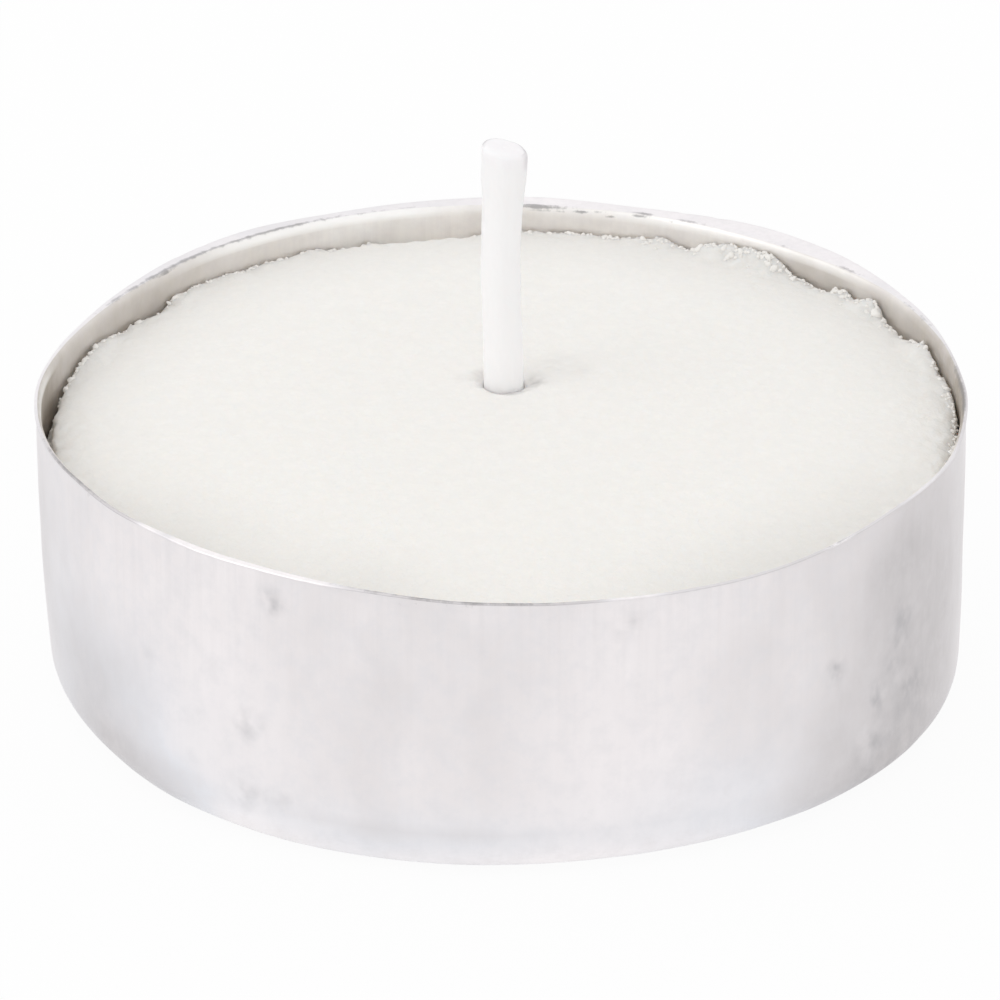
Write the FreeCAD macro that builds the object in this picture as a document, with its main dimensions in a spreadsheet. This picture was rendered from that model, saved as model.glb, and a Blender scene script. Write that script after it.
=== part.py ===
import FreeCAD, Part
import os

import Sketcher

# Tea light candle: a deep-drawn aluminium cup, a pressed wax puck, a waxed wick and the stamped
# sustainer that stands the wick on the floor of the cup.
# Millimetres, +Z up. The origin is the centre of the cup's foot, at the level that it stands on.

# The driving dimensions. Each one is a cell of the sheet and has its alias.
SIZES = {
    # The cup, from its foot to its lip
    "cup_height": 12.1,
    "wall_radius": 18.85,
    "sheet_thickness": 0.2,
    "corner_radius": 1.4,
    "foot_width": 1.0,
    "foot_depth": 0.45,
    "foot_step_run": 0.6,
    # The lip: the sheet is bent outwards and trimmed by a die that sits a little off centre
    "lip_width": 0.2,
    "lip_bend": 0.06,
    "lip_shift": 0.12,
    "lip_shift_direction": 55,
    "trim_allowance": 0.6,
    # The wax puck
    "wax_gap": 0.12,
    "wax_depth": 1.3,
    "wax_crown": 0.85,
    "wax_flat_radius": 9,
    "wax_shoulder_radius": 14.5,
    "wax_shoulder_drop": 0.25,
    "wax_edge_chamfer": 0.25,
    "wax_foot_chamfer": 1.5,
    # The crumbled edge of the wax: bites of several sizes, spread by the golden angle
    "bite_radius": 0.7,
    "bite_spread": 0.6,
    "bite_share": 0.7,
    # The wick and the dimple that it comes out of
    "wick_shift": 2.0,
    "wick_radius": 0.82,
    "wick_tip_radius": 0.93,
    "wick_height": 10.6,
    "wick_tip_drop": 0.4,
    "wick_tip_chamfer": 0.25,
    "wick_bore_gap": 0.1,
    "dimple_width": 0.5,
    "dimple_depth": 0.45,
    # The sustainer
    "sustainer_radius": 6.5,
    "sustainer_thickness": 0.25,
    "sustainer_gap": 0.15,
    "neck_height": 3.2,
    "neck_wall": 0.25,
    "neck_grip_gap": 0.03,
    "neck_bend": 0.25,
    "crimp_depth": 0.1,
    "crimp_height": 1.4,
}

BITE_COUNT = 12
CORNER_FLATS = 3
CRIMP_COUNT = 3
GOLDEN_ANGLE = 137.508
FIRST_BITE_ANGLE = 25
SAME_SPOT = 1e-4

# Places that several pieces share, worked out from the cells
STEP_RADIUS = "(sizes.wall_radius - sizes.corner_radius - sizes.foot_width)"
PANEL_RADIUS = "({} - sizes.foot_step_run)".format(STEP_RADIUS)
FLOOR = "(sizes.foot_depth + sizes.sheet_thickness)"
RIM_RADIUS = "(sizes.wall_radius + sizes.lip_width)"
WALL_INSIDE = "(sizes.wall_radius - sizes.sheet_thickness)"
WAX_RADIUS = "({} - sizes.wax_gap)".format(WALL_INSIDE)
WAX_EDGE = "(sizes.cup_height - sizes.wax_depth)"
WAX_TOP = "({} + sizes.wax_crown)".format(WAX_EDGE)
NECK_BORE = "(sizes.wick_radius + sizes.neck_grip_gap)"
NECK_RADIUS = "({} + sizes.neck_wall)".format(NECK_BORE)


def make_sheet(doc):
    """Write the driving dimensions into the document's sheet."""
    sheet = doc.addObject("Spreadsheet::Sheet", "sizes")
    for row, (alias, value) in enumerate(SIZES.items(), start=1):
        sheet.set("A{}".format(row), alias.replace("_", " "))
        sheet.set("B{}".format(row), str(value))
        sheet.setAlias("B{}".format(row), alias)
    doc.recompute()
    return sheet


def number(owner, expression):
    """The present value of an expression over the sheet."""
    return float(owner.evalExpression(expression))


def new_body(doc, label):
    body = doc.addObject("PartDesign::Body", label)
    body.Label = label
    return body


def origin_plane(body, role):
    return next(item for item in body.Origin.OriginFeatures if item.Role == role)


def new_sketch(body, name, role, offsets=()):
    """A sketch on one of the body's own planes; offsets are pairs of a direction and an expression."""
    sketch = body.newObject("Sketcher::SketchObject", name)
    sketch.AttachmentSupport = [(origin_plane(body, role), "")]
    sketch.MapMode = "FlatFace"
    for direction, expression in offsets:
        sketch.setExpression(".AttachmentOffset.Base.{}".format(direction), expression)
    return sketch


def pin_point(sketch, piece, end, kind, expression):
    """Hold one end of a sketch line at a distance across or up from the sketch's origin."""
    value = number(sketch, expression)
    if abs(value) < SAME_SPOT:
        axis = -2 if kind == "DistanceX" else -1
        sketch.addConstraint(Sketcher.Constraint("PointOnObject", piece, end, axis))
        return
    name = "{}_{}".format("across" if kind == "DistanceX" else "up", piece)
    index = sketch.addConstraint(Sketcher.Constraint(kind, -1, 1, piece, end, value))
    sketch.renameConstraint(index, name)
    sketch.setExpression("Constraints.{}".format(name), expression)


def draw_outline(sketch, corners):
    """A closed outline of straight sides through corners given as expressions."""
    spots = [FreeCAD.Vector(number(sketch, x), number(sketch, y), 0) for x, y in corners]
    for start, end in zip(spots, spots[1:] + spots[:1]):
        sketch.addGeometry(Part.LineSegment(start, end))
    for i, (x, y) in enumerate(corners):
        sketch.addConstraint(Sketcher.Constraint("Coincident", i, 2, (i + 1) % len(corners), 1))
        pin_point(sketch, i, 1, "DistanceX", x)
        pin_point(sketch, i, 1, "DistanceY", y)


def draw_circle(sketch, radius, across="0", up="0"):
    """A full circle whose centre and radius are expressions."""
    centre = FreeCAD.Vector(number(sketch, across), number(sketch, up), 0)
    circle = Part.Circle(centre, FreeCAD.Vector(0, 0, 1), number(sketch, radius))
    piece = sketch.addGeometry(circle)
    index = sketch.addConstraint(Sketcher.Constraint("Radius", piece, circle.Radius))
    name = "radius_{}".format(piece)
    sketch.renameConstraint(index, name)
    sketch.setExpression("Constraints.{}".format(name), radius)
    pin_point(sketch, piece, 3, "DistanceX", across)
    pin_point(sketch, piece, 3, "DistanceY", up)


def turn(body, name, kind, sketch):
    """Revolve a section once round its own upright axis, to add or to cut."""
    feature = body.newObject("PartDesign::{}".format(kind), name)
    feature.Profile = sketch
    feature.ReferenceAxis = (sketch, ["V_Axis"])
    feature.Angle = 360
    body.Document.recompute()
    return feature


def cut_through(body, name, sketch):
    """Cut a sketch right through the body, both ways."""
    feature = body.newObject("PartDesign::Pocket", name)
    feature.Profile = sketch
    feature.Type = "ThroughAll"
    feature.Midplane = True
    body.Document.recompute()
    return feature


def rings(feature, radius, height):
    """The names of the round edges of a radius at a height, both given as expressions."""
    radius, height = number(feature, radius), number(feature, height)
    found = []
    for i, edge in enumerate(feature.Shape.Edges, start=1):
        if edge.Degenerated or not isinstance(edge.Curve, Part.Circle):
            continue
        if abs(edge.Curve.Radius - radius) < SAME_SPOT and abs(edge.Curve.Center.z - height) < SAME_SPOT:
            found.append("Edge{}".format(i))
    return found


def corner_points(radius):
    """Points along the rounded lower corner, on an arc of a radius about the corner's own centre.

    The corner is drawn over in short flats, one for each equal share of the quarter turn.
    """
    points = []
    for i in range(CORNER_FLATS + 1):
        angle = "{} * 90deg".format(i / CORNER_FLATS)
        across = "sizes.wall_radius - sizes.corner_radius + {} * sin({})".format(radius, angle)
        up = "sizes.corner_radius - {} * cos({})".format(radius, angle)
        points.append((across, up))
    return points


def make_cup(doc):
    """One piece of aluminium sheet: a stepped floor, a rounded foot, a wall and a bent lip."""
    body = new_body(doc, "cup")
    sheet = "sizes.sheet_thickness"
    # Across the step and the lip's bend the sheet keeps its thickness, so its inner line is shifted
    step_shift = "({} * (sqrt(sizes.foot_depth ^ 2 + sizes.foot_step_run ^ 2) - sizes.foot_step_run)" \
                 " / sizes.foot_depth)".format(sheet)
    inner_bend = "(sizes.lip_bend + {} * (2 - sqrt(2)))".format(sheet)
    blank = "({} + sizes.lip_shift + sizes.trim_allowance)".format(RIM_RADIUS)
    under_lip = "(sizes.cup_height - {})".format(sheet)
    section = new_sketch(body, "cup_section", "XZ_Plane")
    draw_outline(section, [
        ("0", "sizes.foot_depth"),
        (PANEL_RADIUS, "sizes.foot_depth"),
        (STEP_RADIUS, "0"),
        *corner_points("sizes.corner_radius"),
        ("sizes.wall_radius", "{} - sizes.lip_bend".format(under_lip)),
        ("sizes.wall_radius + sizes.lip_bend", under_lip),
        (blank, under_lip),
        (blank, "sizes.cup_height"),
        ("{} + {}".format(WALL_INSIDE, inner_bend), "sizes.cup_height"),
        (WALL_INSIDE, "sizes.cup_height - {}".format(inner_bend)),
        *reversed(corner_points("(sizes.corner_radius - {})".format(sheet))),
        ("{} + {}".format(STEP_RADIUS, step_shift), sheet),
        ("{} + {}".format(PANEL_RADIUS, step_shift), FLOOR),
        ("0", FLOOR),
    ])
    turn(body, "drawn_cup", "Revolution", section)
    # The trimming die leaves the lip wider on one side
    trim = new_sketch(body, "trim_ring", "XY_Plane", [("z", "sizes.cup_height")])
    draw_circle(trim, "{} + sizes.trim_allowance".format(blank))
    draw_circle(trim, RIM_RADIUS,
                "sizes.lip_shift * cos(sizes.lip_shift_direction * 1deg)",
                "sizes.lip_shift * sin(sizes.lip_shift_direction * 1deg)")
    cut_through(body, "trimmed_lip", trim)
    return body


def make_wax_puck(doc):
    """The pressed wax: slightly crowned, bitten round its top edge, with a well for the wick's foot."""
    body = new_body(doc, "wax_puck")
    section = new_sketch(body, "wax_section", "XZ_Plane")
    draw_outline(section, [
        ("0", FLOOR),
        ("{} - sizes.wax_foot_chamfer".format(WAX_RADIUS), FLOOR),
        (WAX_RADIUS, "{} + sizes.wax_foot_chamfer".format(FLOOR)),
        (WAX_RADIUS, "{} - sizes.wax_edge_chamfer".format(WAX_EDGE)),
        ("{} - sizes.wax_edge_chamfer".format(WAX_RADIUS), WAX_EDGE),
        ("sizes.wax_shoulder_radius", "{} - sizes.wax_shoulder_drop".format(WAX_TOP)),
        ("sizes.wax_flat_radius", WAX_TOP),
        ("0", WAX_TOP),
    ])
    turn(body, "pressed_puck", "Revolution", section)
    for i in range(BITE_COUNT):
        make_bite(body, i)
    # The well, from the sustainer's recess up to the dimple, round the wick's own axis
    well = new_sketch(body, "well_section", "YZ_Plane", [("x", "sizes.wick_shift")])
    recess = "(sizes.sustainer_radius + sizes.sustainer_gap)"
    recess_top = "({} + sizes.sustainer_thickness + sizes.sustainer_gap)".format(FLOOR)
    neck_hole = "({} + sizes.sustainer_gap)".format(NECK_RADIUS)
    neck_hole_top = "({} + sizes.neck_height + sizes.sustainer_gap)".format(FLOOR)
    bore = "(sizes.wick_radius + sizes.wick_bore_gap)"
    above = "({} + sizes.dimple_depth)".format(WAX_TOP)
    draw_outline(well, [
        ("0", "{} - sizes.foot_depth".format(FLOOR)),
        (recess, "{} - sizes.foot_depth".format(FLOOR)),
        (recess, recess_top),
        ("{} + sizes.neck_bend".format(neck_hole), recess_top),
        (neck_hole, "{} + sizes.neck_bend".format(recess_top)),
        (neck_hole, neck_hole_top),
        (bore, neck_hole_top),
        (bore, "{} - sizes.dimple_depth".format(WAX_TOP)),
        ("{} + sizes.dimple_width".format(bore), WAX_TOP),
        ("{} + 2 * sizes.dimple_width".format(bore), above),
        ("0", above),
    ])
    turn(body, "wick_well", "Groove", well)
    return body


def make_bite(body, i):
    """One crumbled bite out of the wax's top edge. Each one is a little larger than the last."""
    bite = body.newObject("PartDesign::SubtractiveSphere", "bite_{}".format(i + 1))
    bite.AttachmentSupport = [(origin_plane(body, "XY_Plane"), "")]
    bite.MapMode = "FlatFace"
    angle = "{} * 1deg".format(FIRST_BITE_ANGLE + i * GOLDEN_ANGLE)
    size = "(sizes.bite_radius + sizes.bite_spread * {})".format(i / BITE_COUNT)
    out = "({} + {} * (1 - sizes.bite_share))".format(WAX_RADIUS, size)
    bite.setExpression("Radius", size)
    bite.setExpression(".AttachmentOffset.Base.x", "{} * cos({})".format(out, angle))
    bite.setExpression(".AttachmentOffset.Base.y", "{} * sin({})".format(out, angle))
    bite.setExpression(".AttachmentOffset.Base.z", "{} + {} / 4".format(WAX_EDGE, size))
    body.Document.recompute()
    return bite


def make_wick(doc):
    """One stiff waxed cord: straight in the wax, a little thicker to its slanted, rounded tip."""
    body = new_body(doc, "wick")
    body.setExpression(".Placement.Base.y", "sizes.wick_shift")
    tip = "({} + sizes.wick_height)".format(WAX_TOP)
    section = new_sketch(body, "wick_section", "XZ_Plane")
    draw_outline(section, [
        ("0", FLOOR),
        ("sizes.wick_radius", FLOOR),
        ("sizes.wick_radius", WAX_TOP),
        ("sizes.wick_tip_radius", tip),
        ("0", tip),
    ])
    turn(body, "waxed_cord", "Revolution", section)
    slant = new_sketch(body, "tip_slant", "XZ_Plane")
    draw_outline(slant, [
        ("-sizes.wick_tip_radius", tip),
        ("sizes.wick_tip_radius", "{} - sizes.wick_tip_drop".format(tip)),
        ("2 * sizes.wick_tip_radius", "{} + sizes.wick_tip_drop".format(tip)),
    ])
    cut = cut_through(body, "slanted_tip", slant)
    top = max(cut.Shape.Faces, key=lambda face: face.CenterOfMass.z)
    edges = ["Edge{}".format(i) for i, edge in enumerate(cut.Shape.Edges, start=1)
             if any(edge.isSame(other) for other in top.Edges)]
    bevel = body.newObject("PartDesign::Chamfer", "worn_tip")
    bevel.Base = (cut, edges)
    bevel.setExpression("Size", "sizes.wick_tip_chamfer")
    doc.recompute()
    return body


def make_wick_sustainer(doc):
    """A stamped disc whose drawn neck is crimped round the foot of the wick."""
    body = new_body(doc, "wick_sustainer")
    body.setExpression(".Placement.Base.y", "sizes.wick_shift")
    disc_top = "({} + sizes.sustainer_thickness)".format(FLOOR)
    neck_top = "({} + sizes.neck_height)".format(FLOOR)
    section = new_sketch(body, "sustainer_section", "XZ_Plane")
    draw_outline(section, [
        (NECK_BORE, FLOOR),
        ("sizes.sustainer_radius", FLOOR),
        ("sizes.sustainer_radius", disc_top),
        (NECK_RADIUS, disc_top),
        (NECK_RADIUS, neck_top),
        (NECK_BORE, neck_top),
    ])
    stamped = turn(body, "stamped_disc", "Revolution", section)
    bend = body.newObject("PartDesign::Chamfer", "neck_bend")
    bend.Base = (stamped, rings(stamped, NECK_RADIUS, disc_top))
    bend.setExpression("Size", "sizes.neck_bend")
    doc.recompute()
    crimp = new_sketch(body, "crimp_flat", "XZ_Plane")
    inner = "({} - sizes.crimp_depth)".format(NECK_RADIUS)
    outer = "({} + sizes.crimp_depth)".format(NECK_RADIUS)
    low = "({} - sizes.crimp_height)".format(neck_top)
    draw_outline(crimp, [(inner, low), (outer, low), (outer, neck_top), (inner, neck_top)])
    flat = cut_through(body, "crimp", crimp)
    ring = body.newObject("PartDesign::PolarPattern", "crimps")
    ring.Originals = [flat]
    ring.Axis = (crimp, ["V_Axis"])
    ring.Angle = 360
    ring.Occurrences = CRIMP_COUNT
    body.Tip = ring
    doc.recompute()
    return body


def check_document(doc, pieces):
    """Stop if any object failed, or if a piece isn't one valid solid."""
    for item in doc.Objects:
        if "Invalid" in item.State or "Error" in item.State:
            raise RuntimeError("{} failed: {}".format(item.Name, item.State))
    for piece in pieces:
        shape = piece.Shape
        if shape.isNull() or not shape.isValid() or len(shape.Solids) != 1:
            raise RuntimeError("{} is not one valid solid".format(piece.Label))


def main():
    doc = FreeCAD.newDocument("tea_light")
    make_sheet(doc)
    pieces = [make_cup(doc), make_wax_puck(doc), make_wick(doc), make_wick_sustainer(doc)]
    doc.recompute()
    check_document(doc, pieces)
    os.makedirs("parts", exist_ok=True)
    for piece in pieces:
        piece.Shape.exportStep("parts/{}.step".format(piece.Label))
        box = piece.Shape.optimalBoundingBox()
        print("{}: volume {:.1f}, x {:.2f} to {:.2f}, y {:.2f} to {:.2f}, z {:.2f} to {:.2f}".format(
            piece.Label, piece.Shape.Volume, box.XMin, box.XMax, box.YMin, box.YMax, box.ZMin, box.ZMax))


main()
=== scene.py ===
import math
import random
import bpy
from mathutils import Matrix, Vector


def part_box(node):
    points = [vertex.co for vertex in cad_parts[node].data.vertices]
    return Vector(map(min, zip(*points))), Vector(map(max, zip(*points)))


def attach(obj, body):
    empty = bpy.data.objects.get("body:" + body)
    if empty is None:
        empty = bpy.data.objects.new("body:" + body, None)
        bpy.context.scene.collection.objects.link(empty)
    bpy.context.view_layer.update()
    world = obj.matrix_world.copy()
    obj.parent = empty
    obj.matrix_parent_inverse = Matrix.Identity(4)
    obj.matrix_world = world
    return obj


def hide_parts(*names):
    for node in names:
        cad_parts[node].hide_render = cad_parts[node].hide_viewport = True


bl_info = {
    "name": "Tea Light Candle",
    "version": (1, 0, 0),
    "blender": (4, 5, 0),
    "location": "3D View > Sidebar > Tea Light",
    "description": "Builds a tea light candle around its packed solids: cup, wax, wick, sustainer and stage",
    "category": "Object",
}

import bmesh
import bpy
import numpy as np
from bpy.props import FloatProperty, FloatVectorProperty, PointerProperty
from mathutils import Matrix, Vector, noise

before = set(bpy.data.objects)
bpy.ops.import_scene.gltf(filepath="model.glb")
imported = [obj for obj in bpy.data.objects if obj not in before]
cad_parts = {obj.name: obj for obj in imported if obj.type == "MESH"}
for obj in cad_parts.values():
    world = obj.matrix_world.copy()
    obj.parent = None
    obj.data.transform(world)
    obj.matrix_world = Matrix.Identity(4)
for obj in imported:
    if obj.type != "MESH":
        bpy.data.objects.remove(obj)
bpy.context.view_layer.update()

MM = 0.001
TURN = 2 * math.pi
ROOT = "root"

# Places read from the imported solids
CUP_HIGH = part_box("cup")[1]
WAX_LOW, WAX_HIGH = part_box("wax_puck")
WICK_LOW, WICK_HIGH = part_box("wick")
WAX_RADIUS = (WAX_HIGH.x - WAX_LOW.x) / 2
WICK_AXIS = Vector(((WICK_LOW.x + WICK_HIGH.x) / 2, (WICK_LOW.y + WICK_HIGH.y) / 2))


def length(name, description, default):
    """A property that holds a length in metres."""
    return FloatProperty(name=name, description=description, default=default, unit="LENGTH", precision=5)


def colour(name, description, default):
    """A property that holds a plain colour."""
    return FloatVectorProperty(name=name, description=description, default=default, subtype="COLOR",
                               size=3, min=0.0, max=1.0)


class CupSizes(bpy.types.PropertyGroup):
    """The drawn cup: one piece of aluminium sheet."""
    height: length("Height", "From the foot to the top of the lip", CUP_HIGH.z)
    wall: length("Wall radius", "Outside radius of the wall", 18.85 * MM)
    sheet: length("Sheet", "Thickness of the aluminium", 0.2 * MM)
    corner: length("Corner radius", "Outside radius of the rounded foot corner", 1.4 * MM)
    foot_width: length("Foot width", "Width of the flat ring that the cup stands on", 1.0 * MM)
    foot_depth: length("Foot depth", "How far the base panel is pressed up", 0.45 * MM)
    foot_step: length("Foot step", "Run of the slope from the foot up to the panel", 0.6 * MM)
    lip_sheet: length("Lip sheet", "Thickness of the sheet drawn thin at the lip", 0.1 * MM)
    bend_width: length("Bend width", "Width of the rounded bend from the wall into the lip", 0.2 * MM)
    bend_depth: length("Bend depth", "Height of that bend", 0.45 * MM)
    colour: colour("Metal", "Colour of the aluminium", (0.875, 0.84, 0.848))
    cool: colour("Cool metal", "Its colour in the bluer patches", (0.835, 0.84, 0.88))
    fogged: colour("Fogged metal", "Its colour inside, under a thin film of wax", (0.93, 0.905, 0.88))


class WaxSizes(bpy.types.PropertyGroup):
    """The pressed wax puck."""
    edge_depth: length("Edge depth", "How far the wax edge lies below the lip", 1.3 * MM)
    foot_chamfer: length("Foot chamfer", "Bevel round the underside", 1.5 * MM)
    dimple_width: length("Dimple width", "Width of the dimple beside the wick", 0.5 * MM)
    dimple_depth: length("Dimple depth", "Depth of the dimple beside the wick", 0.28 * MM)
    bore_gap: length("Bore gap", "Room between the wick and the wax below the dimple", 0.1 * MM)
    crumble: length("Crumble", "How far the broken edge wanders", 0.3 * MM)
    colour: colour("Wax", "Colour of the paraffin", (0.915, 0.895, 0.86))


class WickSizes(bpy.types.PropertyGroup):
    """The waxed cotton wick."""
    radius: length("Radius", "Radius in the wax", 0.82 * MM)
    tip_radius: length("Tip radius", "Radius just below the tip", 0.93 * MM)
    tip_drop: length("Tip drop", "How much lower the cut is on its right side", 0.4 * MM)
    tip_wear: length("Tip wear", "How far the rim of the cut is worn round", 0.2 * MM)
    colour: colour("Cotton", "Colour of the waxed cotton", (1.0, 0.975, 1.0))


class StageSettings(bpy.types.PropertyGroup):
    """Camera, lamp and soft surroundings."""
    distance: length("Camera distance", "From the camera to the foot of the cup", 302.6 * MM)
    elevation: FloatProperty(name="Elevation", description="Camera angle above the floor",
                             default=math.radians(26.54), subtype="ANGLE")
    roll: FloatProperty(name="Roll", description="How far the picture is turned",
                        default=math.radians(-0.17), subtype="ANGLE")
    scale: FloatProperty(name="Picture scale", description="Pixels for one metre at the camera distance",
                         default=24121.0)
    shift_right: length("Shift right", "How far the object lies right of the picture's middle", 0.14 * MM)
    shift_up: length("Shift up", "How far the object lies above the picture's middle", -6.35 * MM)
    key_power: FloatProperty(name="Key lamp", description="Power of the soft lamp", default=0.22,
                             unit="POWER")
    world_strength: FloatProperty(name="Surroundings", description="Strength of the soft light all round",
                                  default=0.93)


def smooth(value):
    """Ease from 0 to 1, flat at both ends."""
    value = min(max(value, 0.0), 1.0)
    return value * value * (3 - 2 * value)


def grain(x, y, z, size, octaves=1):
    """Signed noise whose lumps are about size metres across, with finer octaves added."""
    total, share = 0.0, 1.0
    for _ in range(octaves):
        total += share * noise.noise(Vector((x, y, z)) / size)
        size, share = size / 2, share / 2
    return total


def link_object(name, data):
    """A new object that holds its data, put in the scene."""
    made = bpy.data.objects.new(name, data)
    bpy.context.scene.collection.objects.link(made)
    return made


def link_mesh(name, points, faces):
    """A new smooth-shaded mesh, put in the scene."""
    mesh = bpy.data.meshes.new(name)
    mesh.from_pydata(points, [], faces)
    mesh.validate()
    mesh.polygons.foreach_set("use_smooth", [True] * len(mesh.polygons))
    return link_object(name, mesh)


def ring_mesh(name, rings, looped=False, capped=False):
    """Skin a stack of rings of points with quads. It closes on itself, or each end on a middle point."""
    rings = np.asarray(rings, dtype=float)
    count, around = rings.shape[0], rings.shape[1]
    points = rings.reshape(-1, 3).tolist()
    faces = []
    last = count if looped else count - 1
    for k in range(last):
        low = k * around
        high = (k + 1) % count * around
        for i in range(around):
            j = (i + 1) % around
            faces.append((low + i, low + j, high + j, high + i))
    if capped:
        for k, order in ((0, -1), (count - 1, 1)):
            middle = len(points)
            points.append(rings[k].mean(axis=0).tolist())
            start = k * around
            for i in range(around):
                ends = (start + i, start + (i + 1) % around)[::order]
                faces.append((*ends, middle))
    return link_mesh(name, points, faces)


def paint(piece, name, values):
    """Keep a number for each point of the mesh, 0 for its last ones, for its material to read."""
    numbers = np.zeros(len(piece.data.vertices))
    numbers[:len(values)] = values
    piece.data.attributes.new(name, "FLOAT", "POINT").data.foreach_set("value", numbers)


def face_outwards(piece):
    """Turn every face outwards."""
    shell = bmesh.new()
    shell.from_mesh(piece.data)
    bmesh.ops.recalc_face_normals(shell, faces=shell.faces)
    shell.to_mesh(piece.data)
    shell.free()


# The cup
CUP_AROUND = 720
WALL_ROWS = 22
CORNER_ROWS = 9
PANEL_ROWS = 6
STEP_ROWS = 6
FOOT_ROWS = 2
BEND_ROWS = 10
NOSE_ROWS = 4
LIP_ROWS = 5
LINE_ROWS = 2
# The section's points on the lip come after LIP_FROM, and those inside the cup after INSIDE_FROM
LIP_FROM = PANEL_ROWS + STEP_ROWS + FOOT_ROWS + CORNER_ROWS + WALL_ROWS + 1
INSIDE_FROM = LIP_FROM + 2 * NOSE_ROWS + 2 * LIP_ROWS + LINE_ROWS
# How far the wall's top and its foot stand out of a true circle: a direction in degrees, and millimetres
RIM_ROUND = (
    (0, -0.07), (8, -0.13), (16, -0.08), (32, 0), (45, -0.18), (52, -0.32), (62, -0.32), (70, -0.28),
    (82, -0.33), (100, -0.26), (113, -0.24), (130, -0.3), (140, -0.42), (150, -0.48), (160, -0.37),
    (170, -0.1), (180, 0.15), (187, 0.17), (197, 0.15), (209, -0.05), (217, -0.03), (225, -0.17),
    (240, -0.19), (250, -0.13), (264, 0.1), (278, 0.17), (301, 0.19), (315, 0.05), (325, -0.07),
    (341, 0.07), (352, -0.04),
)
BASE_ROUND = (
    (0, -0.01), (30, 0.1), (62, 0.15), (85, 0.05), (110, -0.05), (135, 0.05), (152, 0.1), (170, -0.05),
    (184, -0.13), (200, -0.17), (210, -0.13), (220, 0.05), (230, 0.15), (243, 0.22), (255, 0.18),
    (268, 0.07), (280, -0.07), (292, -0.07), (303, 0.03), (315, 0.13), (330, 0.23), (341, 0.19),
    (350, 0.03),
)
# How far the trimmed lip reaches beyond the wall, in the same way
LIP_WIDTHS = (
    (0, 0.03), (12, 0.05), (20, 0.18), (30, 0.32), (37, 0.62), (45, 0.95), (54, 1.2), (60, 1.04),
    (66, 0.74), (73, 0.58), (79, 0.73), (85, 0.88), (94, 0.75), (102, 0.59), (112, 0.46), (124, 0.67),
    (132, 0.57), (140, 0.52), (150, 0.29), (162, 0.14), (173, 0.06), (200, 0.08), (220, 0.1), (228, 0.26),
    (247, 0.26), (253, 0.1), (260, 0.06), (300, 0.07), (341, 0.07), (350, 0.05),
)
# Where the lip rises and falls: direction and half width in degrees, millimetres
LIP_LIFTS = (
    (239, 18, 0.12), (301, 12, -0.06), (325, 10, 0.05), (270, 80, 0.04), (90, 80, -0.05),
)
# Where painted shade darkens the lip's inner border in a thin line: direction and half width in degrees, and
# how dark
DARK_LINE_SHADE = (
    (137, 10, 1), (121, 8, 1), (107, 6, 0.35), (86, 4, 0.9), (71.5, 1.5, 1.3), (62, 3, 0.4), (51, 2, 0.4),
    (39, 1.5, 0.9), (24, 8, 0.4), (150, 6, 0.5), (265, 13, 0.8), (314, 2.5, 0.6), (66, 2, 0.5),
    (204, 9, 0.9),
)
# Painted glints and painted shade on the lip's top, and the painted highlight on the bend inside it: a
# direction, and a share
LIP_GLINTS_AND_SHADE = (
    (0, -0.9), (10, -0.9), (18, 0), (34, 0.1), (42, 0.5), (90, 0.45), (100, 0.1), (150, 0), (178, 0.3),
    (190, -0.3), (198, -1.2), (220, -1.1), (221.5, 1), (223.5, 1), (225, -0.6), (227, 1), (232, 1.4),
    (248, 1.4), (251, -0.6), (257, -1.2), (281, -1.1), (283.5, 0.7), (287.5, 0.7), (289.5, -0.7),
    (311, -0.7), (313.2, 0.7), (315, 0.7), (316.5, -0.9), (325, -0.8), (328, -0.2), (334, -0.1),
    (338, -0.4), (348, -0.7),
)
BEND_HIGHLIGHTS = (
    (0, 0), (34, 0), (41, 0.6), (48, 0.5), (57, 0), (64, 0.5), (71, 0.5), (76, 0.2), (88, 0), (97, 0.2),
    (103, 1), (112, 1), (125, 1), (132, 0.6), (138, 0.2), (146, 0), (170, 0), (176, 0.8), (186, 0.8),
    (193, 0), (230, 0.6), (300, 0.6), (330, 0),
)
# Dark marks on the bend, and painted shade on it at the right side (direction 0): direction and half width
# in degrees, millimetres below the top, and how dark
BEND_MARKS_AND_SHADE = (
    (85, 3.5, 0.06, 1), (84, 3.5, 0.17, 0.7), (79.5, 1, 0.14, 1.1), (77.3, 0.7, 0.1, 1),
    (75.6, 0.7, 0.24, 0.8), (0, 8, 0.03, 1), (0, 8, 0.1, 0.9), (0, 8, 0.2, 0.6), (71.8, 1, 0.09, 1.3),
    (67, 0.6, 0.1, 0.6), (141, 2, 0.08, 0.7),
)
# How far the wall bows out at half its height
WALL_BOW = 0.05 * MM
# How far the sheet wavers, and how large its waves are
WAVER = 0.03 * MM
WAVER_SIZE = 3.2 * MM
# The lip's nicks: where their noise is read, how high it has to be, and the share of the lip that they take
NICK_ROUND = 20
NICK_LAYER = 3.0
NICK_SIZE = 0.9
NICK_FROM = 0.45
NICK_SHARE = 0.3
# Its small ripples
RIPPLES = 17
RIPPLE = 0.015 * MM
# The section: the panel's middle, the tight bend under the lip, the strip beside the painted line of shade,
# and how far the inner side of the pressed step stands outwards, as a share of the sheet
HUB = 0.8 * MM
UNDER_BEND = 0.03 * MM
LINE_STRIP = 0.2 * MM
STEP_SHIFT = 0.4
# The painted line of shade: how far it lies from the bend, its half width, and the half width of each dark
# mark and shade spot on the bend
DARK_LINE_PLACE = 0.02 * MM
DARK_LINE_REACH = 0.155 * MM
BEND_MARK_REACH = 0.07 * MM
# How blue the lip is
LIP_COOL = 0.25
# A soft spot fades out at this square of its own reach
SPOT_END = 9
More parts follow.
